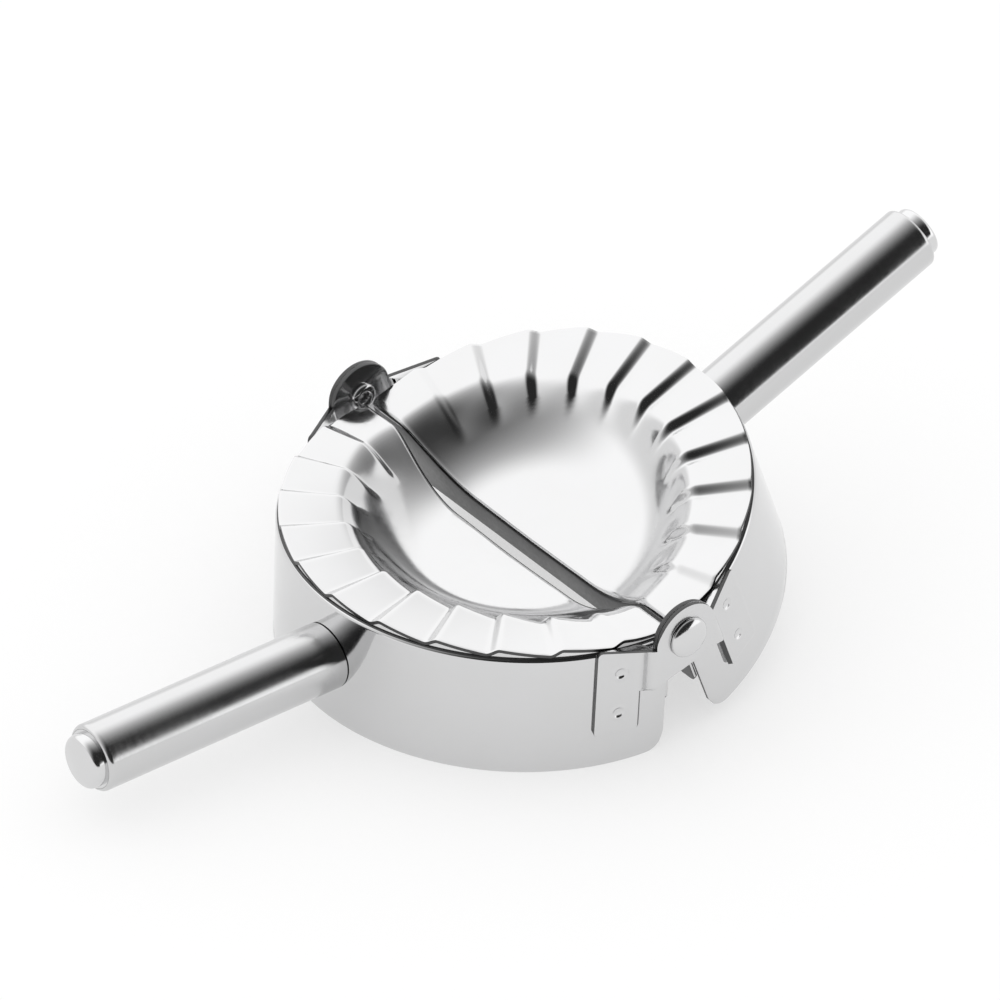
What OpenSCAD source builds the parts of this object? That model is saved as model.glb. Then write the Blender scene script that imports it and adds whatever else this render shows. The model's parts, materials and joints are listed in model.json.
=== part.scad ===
// Hinged dumpling press in stainless sheet, in millimetres.
// Two half moulds fold together on two riveted ears. The near half lies flat toward -X,
// and the far half, toward +X, is drawn part raised, as the press stands when it is filled.
// The hinge axis runs along Y, above the origin. Z is up from the cutter edge.
// Every piece of a half is built as if on the near side, and far_side() turns it over to +X.

/* [Mould plates] */
// Radius of the pleated rim
rim_r = 47.5; // [42:0.5:56]
// Thickness of the pressed mould sheet
plate_t = 0.7; // [0.5:0.05:1]
// Number of pleats on each half
pleats = 12; // [9:1:15]
// Height of the step from one pleat to the next
pleat_rise = 1.2; // [0.6:0.1:1.6]
// Angle that the steep face of each pleat takes up, in degrees
pleat_face = 3.3; // [2.4:0.1:4.5]
// Length of the pleats along the radius
pleat_len = 13; // [10:0.5:15]
// Depth of the filling cavity below the rim
cavity_depth = 9.8; // [7:0.2:12]
// How far the cavity reaches past the pleats' inner ends beside the hinges
cavity_stretch = 4; // [2:0.5:5]
// Radius of the flat floor of the cavity
floor_r = 17; // [12:0.5:20]
// Depth of the wall that turns down along the fold, from the hinge axis
fold_wall_depth = 18.5; // [16:0.5:22]
// Gap from the fold's middle plane to that wall
fold_gap = 0.25; // [0.2:0.05:0.8]
// Gap between the two plates when the press is closed
press_gap = 0.3; // [0.2:0.05:0.6]

/* [Cutter skirts] */
// Height of the skirt
skirt_h = 27; // [24:0.2:34]
// Thickness of the skirt
skirt_t = 0.8; // [0.6:0.05:1.2]
// How far the skirt stands out past the rim
skirt_reach = 0.5; // [0.2:0.1:1]
// How far the skirt's ends stop short of the fold wall
skirt_setback = 0.2; // [0.1:0.05:1.2]
// Radius of the skirt's lower end corners
skirt_corner = 4; // [2:0.5:5]

/* [Hinges] */
// Thickness of the hinge leaves
leaf_t = 0.9; // [0.7:0.05:1.1]
// Width of the band that is spot-welded to the skirt
band_w = 9; // [7:0.2:11]
// Height of that band
band_h = 20; // [18:0.2:22]
// Length along the skirt of the step from the band out to the ear
step_w = 0.3; // [0.2:0.1:2]
// Radius of the riveted ears
ear_r = 7.2; // [6.5:0.1:8.2]
// Clearance between an ear and the step of the other half's leaf
ear_clear = 0.1; // [0.1:0.05:0.5]
// How far the leaf's lower edge lies below the hinge axis at the step
tongue_depth = 9.9; // [9:0.1:12]
// How far the leaf's top edge stays below the hinge axis
leaf_top_drop = 0.8; // [0.2:0.1:1.5]
// Room between the skirt and the inner ear, for the rivet's rolled end
ear_room = 2.1; // [1.8:0.1:3]
// Play between the inner and the outer ear
ear_play = 0.1; // [0.05:0.01:0.2]
// Distance between the two spot welds of a band
weld_pitch = 9.4; // [8:0.2:11]
// Radius of the mark of a spot weld
weld_r = 1.2; // [0.9:0.1:1.5]

/* [Rivets] */
// Radius of the rivets' domed head
rivet_head_r = 4.3; // [3.6:0.1:5]
// Height of that head
rivet_head_h = 2; // [1.5:0.1:2.6]
// Radius of the rivets' shank
rivet_r = 2; // [1.6:0.1:2.4]
// Running clearance between the shank and the ears' holes
rivet_clear = 0.05; // [0.02:0.01:0.09]
// Play between the rolled end and the inner ear
rivet_play = 0.05; // [0.02:0.01:0.1]
// Radius of the rolled end
rivet_tail_r = 3; // [2.8:0.1:3.6]
// Height of the rolled end
rivet_tail_h = 1.2; // [0.8:0.1:1.5]
// Radius of the hole in the rolled end
rivet_bore_r = 1.1; // [0.8:0.1:1.3]

/* [Handles] */
// Length of the handle tube, from the skirt
tube_len = 56.7; // [45:0.1:80]
// Outer radius of the handle tube
tube_r = 6.9; // [6:0.1:8]
// Wall of the handle tube
tube_wall = 0.8; // [0.6:0.1:1.2]
// Height of the handle's axis above the middle of the skirt
handle_rise = 0.2; // [-1:0.1:1]
// Radius of the end plug's button
button_r = 5.5; // [5:0.1:5.8]
// Length of the button past the tube
button_len = 2.9; // [2:0.1:4]
// Length of the plugs inside the tube
plug_len = 12; // [8:0.5:16]
// Clearance of the plugs in the tube
plug_clear = 0.05; // [0.02:0.01:0.1]
// Radius of the handle screw
screw_r = 2.5; // [2:0.1:3]
// Length of the handle screw below its head
screw_len = 13; // [10:0.5:14]
// Radius of the screw's pan head
screw_head_r = 4.4; // [4:0.1:5]
// Height of the screw's head
screw_head_h = 3; // [2.4:0.1:3.4]
// Radius of the screw's washer
washer_r = 5; // [4.6:0.1:5.6]
// Thickness of that washer
washer_t = 1; // [0.8:0.1:1.4]
// Clearance of the screw in its washer and in the skirt
screw_clear = 0.2; // [0.1:0.05:0.4]

/* [Pose] */
// Angle by which the far half is raised from flat
rest_angle = 22.5; // [0:0.5:60]

/* [Hidden] */
$fn = 96;

plate_colour = [0.88, 0.88, 0.9];
skirt_colour = [0.76, 0.77, 0.79];
tube_colour = [0.7, 0.71, 0.73];
leaf_colour = [0.8, 0.8, 0.82];
bright_colour = [0.9, 0.9, 0.92];
screw_colour = [0.6, 0.61, 0.63];

// The plates rest on the skirts at the pleats' low points. The axis lies half the press gap
// above the middle of the pleats, so that the pleats of the two halves nest when closed.
rim_mid_z = skirt_h + plate_t + pleat_rise / 2;
axis_z = rim_mid_z + press_gap / 2;
skirt_r = rim_r + skirt_reach;
skirt_in_r = skirt_r - skirt_t;
skirt_end = fold_gap + plate_t + skirt_setback;
leaf_seat = 0.05;
band_in_r = skirt_r + leaf_seat;
band_mid_r = band_in_r + leaf_t / 2;
inner_ear_y = skirt_r + ear_room;
outer_ear_y = inner_ear_y + leaf_t + ear_play;
leaf_top_z = axis_z - leaf_top_drop;
handle_z = skirt_h / 2 + handle_rise;
tube_in_r = tube_r - tube_wall;
tube_end = skirt_r + tube_len;
thread_play = 0.01;

function smooth(u) = let (c = min(1, max(0, u))) c * c * (3 - 2 * c);

// Shape of the pressed plate

// Length over which a pleat's inner end runs out into the cavity
pleat_runout = 2.5;
// Distances from the fold where the pleats begin and where they have their full height
pleat_begins = 3;
pleat_full = 20;
// Radius of the plate's corners beside the hinges
plate_corner = 2;
// Crown of the cavity's floor
floor_crown = 0.4;
// Rise of the fold wall's lower end corners, and how far those corners stay inside the rim
wall_corner = 2;
wall_inset = 0.2;
pleat_pitch = 180 / pleats;
pleat_in_r = rim_r - pleat_len;
cavity_r = pleat_in_r + pleat_runout;
core_r = pleat_in_r - pleat_runout;

// Height of the saw-tooth at an angle from the fold, from 0 to 1: a steep rise, then a long fall.
// It is the same upside down, so a plate nests in its own mirror image across the fold.
function saw(a) =
    let (m = (a + pleat_face / 2) % pleat_pitch)
    m < pleat_face ? m / pleat_face : 1 - (m - pleat_face) / (pleat_pitch - pleat_face);

function cavity_drop(r, a) =
    let (open_r = cavity_r + cavity_stretch * pow(cos(a), 4))
    cavity_depth * (1 - smooth((r - floor_r) / (open_r - floor_r)))
    + floor_crown * max(0, 1 - pow(r / floor_r, 2));

// Height of the plate's upper face at a point of the near side, a is the angle from the fold
function plate_z(r, a, from_fold) =
    rim_mid_z - cavity_drop(r, a)
    + pleat_rise * (saw(a) - 0.5)
      * smooth((from_fold - pleat_begins) / (pleat_full - pleat_begins))
      * smooth((r - core_r) / (pleat_in_r - core_r));

// Angles of the grid's columns from the rear end of the fold to its front end:
// at each pleat the steep face's foot, middle and head, and two along the slope
slope_step = (pleat_pitch - pleat_face) / 3;
cols = concat([for (k = [0 : pleats - 1])
                   each [k * pleat_pitch,
                         k * pleat_pitch + pleat_face / 2,
                         k * pleat_pitch + pleat_face / 2 + slope_step,
                         k * pleat_pitch + pleat_face / 2 + 2 * slope_step,
                         (k + 1) * pleat_pitch - pleat_face / 2]],
              [180]);
ring_rows = 5;
core_rows = 8;
last_row = ring_rows + core_rows;
last_col = len(cols) - 1;

// Distance of a ring row from the middle of the fold
function row_r(i, out_r) =
    i < ring_rows ? out_r - i * (out_r - pleat_in_r) / (ring_rows - 1) : core_r;

// How far the round corners draw in the rim, at a distance from the plate's edge along the fold
function corner_trim(d) =
    d > plate_corner ? 0 : plate_corner - sqrt(pow(plate_corner, 2) - pow(plate_corner - d, 2));

// A point of the plate's upper (under = 0) or lower (under = 1) face
function plate_point(i, j, under) =
    let (a = cols[j],
         fold_x = fold_gap + under * plate_t,
         squeeze = (rim_r - fold_x) / rim_r,
         out_r = rim_r - corner_trim(rim_r * sin(a)),
         r = row_r(min(i, ring_rows), out_r),
         u = i > ring_rows ? (i - ring_rows) / core_rows : 0,
         x = -fold_x - squeeze * r * sin(a) * (1 - u),
         y = r * cos(a))
    [x, y, plate_z(norm([x, y]), atan2(-x, y), -x) - under * plate_t];

// All columns meet in one point inside the ring at both ends of the fold
function grid_index(i, j, under) =
    let (row = (j == 0 || j == last_col) ? min(i, ring_rows) : i)
    under * (last_row + 1) * (last_col + 1) + j * (last_row + 1) + row;

// The plate's edge along the fold, as [row, column] from the rear end to the front end
fold_edge = concat([for (i = [0 : ring_rows - 1]) [i, 0]],
                   [for (j = [0 : last_col]) [j == 0 || j == last_col ? ring_rows : last_row, j]],
                   [for (i = [ring_rows - 1 : -1 : 0]) [i, last_col]]);
fold_last = len(fold_edge) - 1;
wall_bottom_z = axis_z - fold_wall_depth;
wall_base = 2 * (last_row + 1) * (last_col + 1);

function wall_point(k, under) =
    let (p = plate_point(fold_edge[k][0], fold_edge[k][1], under), end = k == 0 || k == fold_last)
    [p[0], end ? sign(p[1]) * (rim_r - wall_inset) : p[1], wall_bottom_z + (end ? wall_corner : 0)];
function wall_index(k, under) = wall_base + under * (fold_last + 1) + k;
function edge_index(k, under) = grid_index(fold_edge[k][0], fold_edge[k][1], under);

function quad(a, b, c, d) =
    [if (a != b && b != c && a != c) [a, b, c], if (a != c && c != d && a != d) [a, c, d]];

module plate() {
    points = concat([for (under = [0, 1], j = [0 : last_col], i = [0 : last_row])
                         plate_point(i, j, under)],
                    [for (under = [0, 1], k = [0 : fold_last]) wall_point(k, under)]);
    upper = [for (j = [0 : last_col - 1], i = [0 : last_row - 1])
                 each quad(grid_index(i, j, 0), grid_index(i, j + 1, 0),
                           grid_index(i + 1, j + 1, 0), grid_index(i + 1, j, 0))];
    lower = [for (j = [0 : last_col - 1], i = [0 : last_row - 1])
                 each quad(grid_index(i, j, 1), grid_index(i + 1, j, 1),
                           grid_index(i + 1, j + 1, 1), grid_index(i, j + 1, 1))];
    rim = [for (j = [0 : last_col - 1])
               each quad(grid_index(0, j, 1), grid_index(0, j + 1, 1),
                         grid_index(0, j + 1, 0), grid_index(0, j, 0))];
    wall_front = [for (k = [0 : fold_last - 1])
                      each quad(edge_index(k, 0), edge_index(k + 1, 0),
                                wall_index(k + 1, 0), wall_index(k, 0))];
    wall_foot = [for (k = [0 : fold_last - 1])
                     each quad(wall_index(k, 0), wall_index(k + 1, 0),
                               wall_index(k + 1, 1), wall_index(k, 1))];
    wall_back = [for (k = [0 : fold_last - 1])
                     each quad(wall_index(k, 1), wall_index(k + 1, 1),
                               edge_index(k + 1, 1), edge_index(k, 1))];
    ends = concat(quad(edge_index(0, 0), wall_index(0, 0), wall_index(0, 1), edge_index(0, 1)),
                  quad(edge_index(fold_last, 0), edge_index(fold_last, 1),
                       wall_index(fold_last, 1), wall_index(fold_last, 0)));
    color(plate_colour)
        polyhedron(points, concat(upper, lower, rim, wall_front, wall_foot, wall_back, ends));
}

// Half-round cutter skirt with a turned-in top edge that carries the plate
lip_r = 1;
lip_steps = 4;
module skirt() {
    lip = [for (s = [0 : lip_steps])
               [skirt_r - lip_r + lip_r * cos(90 * s / lip_steps),
                skirt_h - lip_r + lip_r * sin(90 * s / lip_steps)]];
    corner_x = skirt_end + skirt_corner;
    color(skirt_colour)
    difference() {
        rotate_extrude($fn = 180)
            polygon(concat([[skirt_in_r, 0], [skirt_r, 0]], lip,
                           [[skirt_r - lip_r, skirt_h - skirt_t],
                            [skirt_in_r, skirt_h - lip_r]]));
        // The fold side is cut away
        translate([-skirt_end, -2 * skirt_r, -1])
            cube([4 * skirt_r, 4 * skirt_r, skirt_h + 2]);
        // The two lower end corners are rounded
        difference() {
            translate([-corner_x, -2 * skirt_r, -skirt_corner])
                cube([2 * skirt_corner, 4 * skirt_r, 2 * skirt_corner]);
            translate([-corner_x, 0, skirt_corner]) rotate([90, 0, 0])
                cylinder(r = skirt_corner, h = 5 * skirt_r, center = true);
        }
        // Hole of the handle screw
        translate([-skirt_r, 0, handle_z]) rotate([0, 90, 0])
            cylinder(r = screw_r + screw_clear, h = 4 * skirt_t, center = true, $fn = 48);
    }
}

// Handle pieces: tube, plug with button, threaded insert, screw and washer

tube_lip = 1;
module handle_place() {
    translate([0, 0, handle_z]) rotate([0, -90, 0]) children();
}

module tube() {
    lip = [for (s = [0 : lip_steps])
               [tube_r - tube_lip + tube_lip * cos(90 * s / lip_steps),
                tube_end - tube_lip + tube_lip * sin(90 * s / lip_steps)]];
    color(tube_colour)
    difference() {
        handle_place() rotate_extrude()
            polygon(concat([[tube_in_r, skirt_in_r], [tube_r, skirt_in_r]], lip,
                           [[tube_in_r, tube_end]]));
        translate([0, 0, -1]) cylinder(r = band_in_r, h = skirt_h + 2, $fn = 180);
    }
}

// The button's edge is round and its face is slightly domed
button_edge = 1.2;
button_dome = 0.35;
module end_plug() {
    face = tube_end + button_len;
    edge = [for (s = [0 : lip_steps])
                [button_r - button_edge + button_edge * cos(90 * s / lip_steps),
                 face - button_dome - button_edge + button_edge * sin(90 * s / lip_steps)]];
    color(bright_colour) handle_place() rotate_extrude()
        polygon(concat([[0, tube_end - plug_len],
                        [tube_in_r - plug_clear, tube_end - plug_len],
                        [tube_in_r - plug_clear, tube_end],
                        [button_r, tube_end]], edge,
                       [[(button_r - button_edge) / 2, face - button_dome / 4], [0, face]]));
}

insert_gap = 0.6;
module insert() {
    start = skirt_r + insert_gap;
    color(screw_colour) handle_place() difference() {
        translate([0, 0, start]) cylinder(r = tube_in_r - plug_clear, h = plug_len);
        translate([0, 0, start - 1]) cylinder(r = screw_r, h = plug_len + 2, $fn = 48);
    }
}

// The washer bridges the curve of the skirt, so its seat lies off the skirt's innermost line
seat = sqrt(pow(skirt_in_r, 2) - pow(washer_r, 2)) - washer_t;
module washer() {
    color(screw_colour) handle_place() translate([0, 0, seat]) difference() {
        cylinder(r = washer_r, h = washer_t, $fn = 64);
        translate([0, 0, -1]) cylinder(r = screw_r + screw_clear, h = washer_t + 2, $fn = 48);
    }
}

drive_r = 1.6;
drive_depth = 1.8;
module screw() {
    color(screw_colour) handle_place() difference() {
        union() {
            translate([0, 0, seat]) cylinder(r = screw_r - thread_play, h = screw_len, $fn = 48);
            translate([0, 0, seat - screw_head_h])
                cylinder(r = screw_head_r, h = screw_head_h, $fn = 64);
        }
        // Hexagon socket in the head
        translate([0, 0, seat - screw_head_h - 1])
            cylinder(r = drive_r, h = drive_depth + 1, $fn = 6);
    }
}

// Hinge leaf of the near half at the front: a welded band, a step outward, and the riveted ear.
// ear_y is the distance of the ear's inner face from the middle of the press.

// Distances from the hinge axis to the step's head and foot, on the middle of the sheet
step_head = ear_r + ear_clear + leaf_t / 2;
step_foot = step_head + step_w;
// How far the step's strip runs on into the band, and how far its lower edge drops on the way
band_run = 0.6;
step_drop = 1.5;

// The lower edge leaves the step and meets the ear's circle at a tangent
module ear_outline() {
    corner = [leaf_t / 2 - step_head, -tongue_depth];
    turn = acos(ear_r / norm(corner)) + atan2(corner[1], corner[0]);
    outer = -step_foot - band_run;
    circle(r = ear_r);
    polygon([[0, 0], [-sqrt(pow(ear_r, 2) - pow(leaf_top_drop, 2)), -leaf_top_drop],
             [outer, -leaf_top_drop], [outer, -tongue_depth - step_drop], corner,
             ear_r * [cos(turn), sin(turn)]]);
}

// One side of a strip of sheet along a path in plan, mitred at the bends
function strip_side(path, side) =
    [for (k = [0 : len(path) - 1])
         let (last = len(path) - 1,
              before = path[max(k, 1)] - path[max(k, 1) - 1],
              after = path[min(k + 1, last)] - path[min(k + 1, last) - 1],
              way = before / norm(before) + after / norm(after))
         path[k] + side * leaf_t * [-way[1], way[0]] / (way * way)];

function band_y(x) = -sqrt(band_mid_r * band_mid_r - x * x);

// How far the welds sit below the band's middle
weld_low = 0.2;
module leaf(ear_y) {
    ear_mid_y = -ear_y - leaf_t / 2;
    step_path = [[-step_foot - band_run, band_y(step_foot + band_run)],
                 [-step_foot, band_y(step_foot)],
                 [-step_head, ear_mid_y],
                 [ear_r + 1, ear_mid_y]];
    weld_x = step_foot + band_w / 2;
    weld_y = -sqrt(pow(band_in_r + leaf_t, 2) - weld_x * weld_x) - weld_r * 0.7;
    weld_mid_z = leaf_top_z - band_h / 2 - weld_low;
    color(leaf_colour)
    difference() {
        union() {
            // Welded band
            intersection() {
                difference() {
                    cylinder(r = band_in_r + leaf_t, h = leaf_top_z, $fn = 180);
                    translate([0, 0, -1]) cylinder(r = band_in_r, h = leaf_top_z + 2, $fn = 180);
                }
                translate([-step_foot - band_w, -2 * skirt_r, leaf_top_z - band_h])
                    cube([band_w, 2 * skirt_r, band_h]);
            }
            // Step and ear
            intersection() {
                translate([0, 0, axis_z - 2 * ear_r])
                    linear_extrude(4 * ear_r)
                        polygon(concat(strip_side(step_path, 1),
                                       [for (k = [len(step_path) - 1 : -1 : 0])
                                            strip_side(step_path, -1)[k]]));
                translate([0, 0, axis_z]) rotate([90, 0, 0])
                    linear_extrude(2 * skirt_r) ear_outline();
            }
        }
        // Rivet hole
        translate([0, -ear_y, axis_z]) rotate([90, 0, 0])
            cylinder(r = rivet_r + rivet_clear, h = 4 * leaf_t, center = true, $fn = 48);
        // Marks of the two spot welds
        for (s = [-1, 1])
            translate([-weld_x, weld_y, weld_mid_z + s * weld_pitch / 2])
                sphere(r = weld_r, $fn = 32);
    }
}

// Rivet at the front: domed head outside, shank through both ears, rolled hollow end inside
module rivet() {
    head_at = outer_ear_y + leaf_t;
    tail_at = inner_ear_y - rivet_play;
    dome_r = (pow(rivet_head_r, 2) + pow(rivet_head_h, 2)) / (2 * rivet_head_h);
    dome_steps = 10;
    dome_turn = asin(rivet_head_r / dome_r);
    dome = [for (s = [0 : dome_steps])
                let (a = dome_turn * (1 - s / dome_steps))
                [dome_r * sin(a), head_at + rivet_head_h - dome_r + dome_r * cos(a)]];
    roll_r = (rivet_tail_r - rivet_bore_r) / 2;
    roll_steps = 8;
    roll = [for (s = [0 : roll_steps])
                let (a = 180 * s / roll_steps)
                [rivet_bore_r + roll_r - roll_r * cos(a),
                 tail_at - (rivet_tail_h - roll_r) - roll_r * sin(a)]];
    color(bright_colour)
    translate([0, 0, axis_z]) rotate([90, 0, 0]) rotate_extrude()
        polygon(concat([[0, tail_at], [rivet_bore_r, tail_at]], roll,
                       [[rivet_tail_r, tail_at], [rivet_r, tail_at], [rivet_r, head_at]],
                       dome));
}

module far_side() {
    translate([0, 0, axis_z]) rotate([0, -rest_angle, 0]) translate([0, 0, -axis_z])
        rotate([0, 0, 180]) children();
}

module rear() {
    mirror([0, 1, 0]) children();
}

plate();  // near_mould_plate
skirt();  // near_cutter_skirt
tube();  // near_handle_tube
end_plug();  // near_handle_end_plug
insert();  // near_handle_insert
screw();  // near_handle_screw
washer();  // near_handle_washer
leaf(outer_ear_y);  // near_front_hinge_leaf
rear() leaf(outer_ear_y);  // near_rear_hinge_leaf
far_side() plate();  // far_mould_plate
far_side() skirt();  // far_cutter_skirt
far_side() tube();  // far_handle_tube
far_side() end_plug();  // far_handle_end_plug
far_side() insert();  // far_handle_insert
far_side() screw();  // far_handle_screw
far_side() washer();  // far_handle_washer
far_side() rear() leaf(inner_ear_y);  // far_front_hinge_leaf
far_side() leaf(inner_ear_y);  // far_rear_hinge_leaf
rivet();  // front_rivet
rear() rivet();  // rear_rivet
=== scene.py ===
import json
import math

import bpy
import numpy as np
from mathutils import Matrix, Vector
from mathutils.geometry import delaunay_2d_cdt


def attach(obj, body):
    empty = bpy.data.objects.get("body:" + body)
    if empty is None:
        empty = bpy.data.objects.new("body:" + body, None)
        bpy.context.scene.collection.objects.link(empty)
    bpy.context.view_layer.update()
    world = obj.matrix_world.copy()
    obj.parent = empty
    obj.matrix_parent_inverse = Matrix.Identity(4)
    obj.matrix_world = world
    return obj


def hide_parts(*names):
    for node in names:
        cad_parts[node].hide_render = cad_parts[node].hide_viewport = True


# Hinged dumpling press in polished stainless sheet. Sizes are in millimetres, in the frame of
# the CAD model: the near half lies toward -X, and the hinge axis runs along Y.

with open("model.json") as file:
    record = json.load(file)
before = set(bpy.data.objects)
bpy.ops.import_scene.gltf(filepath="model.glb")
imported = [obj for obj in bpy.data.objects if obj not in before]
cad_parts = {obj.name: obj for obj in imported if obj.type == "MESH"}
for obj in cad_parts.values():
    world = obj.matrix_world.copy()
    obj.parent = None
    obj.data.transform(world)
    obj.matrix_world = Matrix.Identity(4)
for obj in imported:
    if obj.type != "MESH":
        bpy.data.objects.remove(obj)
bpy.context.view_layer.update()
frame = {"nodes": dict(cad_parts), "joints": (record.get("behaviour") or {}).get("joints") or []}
joint = frame["joints"][0]
mm = 0.001
sameSpot = 1e-6    # points closer than this, in metres, become one

hinge = {
    "height": joint["pos_m"][2] / mm,
    "raised": -joint["range_deg"][0],    # angle of the far half from flat, at rest
}

# A near piece becomes a far one: it is turned half round, then raised about the hinge axis
axisPoint = Matrix.Translation((0, 0, hinge["height"] * mm))
toFarSide = (axisPoint @ Matrix.Rotation(math.radians(-hinge["raised"]), 4, "Y")
             @ axisPoint.inverted() @ Matrix.Rotation(math.pi, 4, "Z"))
toRear = Matrix.Scale(-1, 4, (0, 1, 0))
sides = {
    "near": {"body": "near_half", "place": Matrix.Identity(4)},
    "far": {"body": "far_half", "place": toFarSide},
}


# Node helpers

def addSocket(tree, name, kind, default=None, output=False):
    socket = tree.interface.new_socket(name=name, in_out="OUTPUT" if output else "INPUT",
                                       socket_type=kind)
    if default is not None:
        socket.default_value = default


def feed(tree, socket, value):
    if isinstance(value, bpy.types.NodeSocket):
        tree.links.new(value, socket)
    else:
        socket.default_value = value


def calc(tree, operation, *values):
    node = tree.nodes.new("ShaderNodeMath")
    node.operation = operation
    for k, value in enumerate(values):
        feed(tree, node.inputs[k], value)
    return node.outputs[0]


def fade(tree, value, start, end):    # a smooth change from 0 at start to 1 at end
    node = tree.nodes.new("ShaderNodeMapRange")
    node.interpolation_type = "SMOOTHSTEP"
    feed(tree, node.inputs["Value"], value)
    feed(tree, node.inputs["From Min"], start)
    feed(tree, node.inputs["From Max"], end)
    return node.outputs["Result"]


def noise(tree, vector, scale):
    node = tree.nodes.new("ShaderNodeTexNoise")
    tree.links.new(vector, node.inputs["Vector"])
    feed(tree, node.inputs["Scale"], scale)
    return node


def position(tree, *parts):
    node = tree.nodes.new("ShaderNodeCombineXYZ")
    for k, value in enumerate(parts):
        feed(tree, node.inputs[k], value)
    return node.outputs[0]


def axesOf(tree, vector):    # the X, Y and Z of a vector
    node = tree.nodes.new("ShaderNodeSeparateXYZ")
    tree.links.new(vector, node.inputs[0])
    return node.outputs


def positionAxes(tree):
    return axesOf(tree, tree.nodes.new("GeometryNodeInputPosition").outputs[0])


def setPosition(tree, geometry, place, selection=None):
    node = tree.nodes.new("GeometryNodeSetPosition")
    feed(tree, node.inputs["Geometry"], geometry)
    feed(tree, node.inputs["Position"], place)
    if selection is not None:
        feed(tree, node.inputs["Selection"], selection)
    return node.outputs["Geometry"]


def mergeClose(tree, geometry):
    node = tree.nodes.new("GeometryNodeMergeByDistance")
    feed(tree, node.inputs["Geometry"], geometry)
    node.inputs["Distance"].default_value = sameSpot
    return node.outputs["Geometry"]


def unitGrid(tree, columns, rows):    # a grid, and the place of its points in it from 0 to 1
    grid = tree.nodes.new("GeometryNodeMeshGrid")
    grid.inputs["Size X"].default_value = 1
    grid.inputs["Size Y"].default_value = 1
    feed(tree, grid.inputs["Vertices X"], columns)
    feed(tree, grid.inputs["Vertices Y"], rows)
    axes = positionAxes(tree)
    return grid, calc(tree, "ADD", axes[0], 0.5), calc(tree, "ADD", axes[1], 0.5)


def finishTree(tree, geometry):
    realize = tree.nodes.new("GeometryNodeRealizeInstances")
    paint = tree.nodes.new("GeometryNodeSetMaterial")
    entry = tree.nodes["entry"]
    tree.links.new(geometry, realize.inputs[0])
    tree.links.new(realize.outputs[0], paint.inputs["Geometry"])
    tree.links.new(entry.outputs["Material"], paint.inputs["Material"])
    leave = tree.nodes.new("NodeGroupOutput")
    tree.links.new(paint.outputs[0], leave.inputs[0])


def startTree(name, inputs):
    tree = bpy.data.node_groups.new(name, "GeometryNodeTree")
    addSocket(tree, "Geometry", "NodeSocketGeometry")
    for key, value in inputs.items():
        kind = "NodeSocketInt" if isinstance(value, int) else "NodeSocketFloat"
        addSocket(tree, key, kind, value)
    addSocket(tree, "Material", "NodeSocketMaterial")
    addSocket(tree, "Geometry", "NodeSocketGeometry", output=True)
    entry = tree.nodes.new("NodeGroupInput")
    entry.name = "entry"
    return tree, {key: entry.outputs[key] for key in inputs}


def applyTree(obj, tree, values, material):
    modifier = obj.modifiers.new(tree.name, "NODES")
    modifier.node_group = tree
    for item in tree.interface.items_tree:
        if item.in_out == "INPUT" and item.name in values:
            modifier[item.identifier] = values[item.name]
        if item.in_out == "INPUT" and item.name == "Material":
            modifier[item.identifier] = material
    return modifier


# Mesh helpers

def meshObject(name, verts, faces):
    mesh = bpy.data.meshes.new(name)
    mesh.from_pydata([tuple(v) for v in verts], [], faces)
    mesh.update()
    obj = bpy.data.objects.new(name, mesh)
    bpy.context.scene.collection.objects.link(obj)
    return obj


def gridObject(name, columns, rows, point):    # point(u, v) in millimetres, u and v from 0 to 1
    verts = [np.array(point(u, v)) * mm
             for u in np.linspace(0, 1, columns) for v in np.linspace(0, 1, rows)]
    faces = [(i * rows + j, i * rows + j + 1, (i + 1) * rows + j + 1, (i + 1) * rows + j)
             for i in range(columns - 1) for j in range(rows - 1)]
    return meshObject(name, verts, faces)


def arc(centre, radius, start, end, steps=8):    # points on a round corner, from and to degrees
    return [(centre[0] + radius * math.cos(math.radians(a)),
             centre[1] + radius * math.sin(math.radians(a)))
            for a in np.linspace(start, end, steps + 1)]


def circle(centre, radius, count):
    return [(centre[0] + radius * math.cos(a), centre[1] + radius * math.sin(a))
            for a in np.linspace(0, 2 * math.pi, count + 1)[:-1]]


def addSheet(obj, thickness):    # the sheet's thickness, behind its outer face
    solid = obj.modifiers.new("sheet", "SOLIDIFY")
    solid.thickness = thickness * mm
    solid.offset = -1
    solid.use_even_offset = True
    solid.use_quality_normals = True


def addBevel(obj, width, angle=60):
    bevel = obj.modifiers.new("edges", "BEVEL")
    bevel.width = width * mm
    bevel.segments = 2
    bevel.limit_method = "ANGLE"
    bevel.angle_limit = math.radians(angle)
    bevel.use_clamp_overlap = True


def bakedMesh(obj):    # what the modifiers give, as a plain mesh
    bpy.context.view_layer.update()
    evaluated = obj.evaluated_get(bpy.context.evaluated_depsgraph_get())
    mesh = bpy.data.meshes.new_from_object(evaluated)
    bpy.data.objects.remove(obj)
    return mesh


def markCutAndShade(mesh, isCutOrShade):    # faces in the near-black steel take the second material: unpolished sheared edges, and faces painted dark as shade
    mesh.update()
    for face in mesh.polygons:
        face.material_index = 1 if isCutOrShade(face.center / mm, face.normal) else 0


def placePiece(name, mesh, matrix, material, body, node, sharp=35):
    own = mesh.copy()
    own.name = name
    own.transform(matrix)
    if matrix.determinant() < 0:
        own.flip_normals()
    # Faces marked for the near-black steel: cut edges, and faces painted dark as shade
    cutAndShadeFaces = [face.index for face in own.polygons if face.material_index]
    own.materials.clear()
    own.materials.append(material)
    if cutAndShadeFaces:
        own.materials.append(steels["cutEdgeAndShadeSteel"])
    for k in cutAndShadeFaces:
        own.polygons[k].material_index = 1
    piece = bpy.data.objects.new(name, own)
    bpy.context.scene.collection.objects.link(piece)
    own.shade_smooth()
    own.set_sharp_from_angle(angle=math.radians(sharp))
    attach(piece, body)
    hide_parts(node)


# Steel finishes

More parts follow.
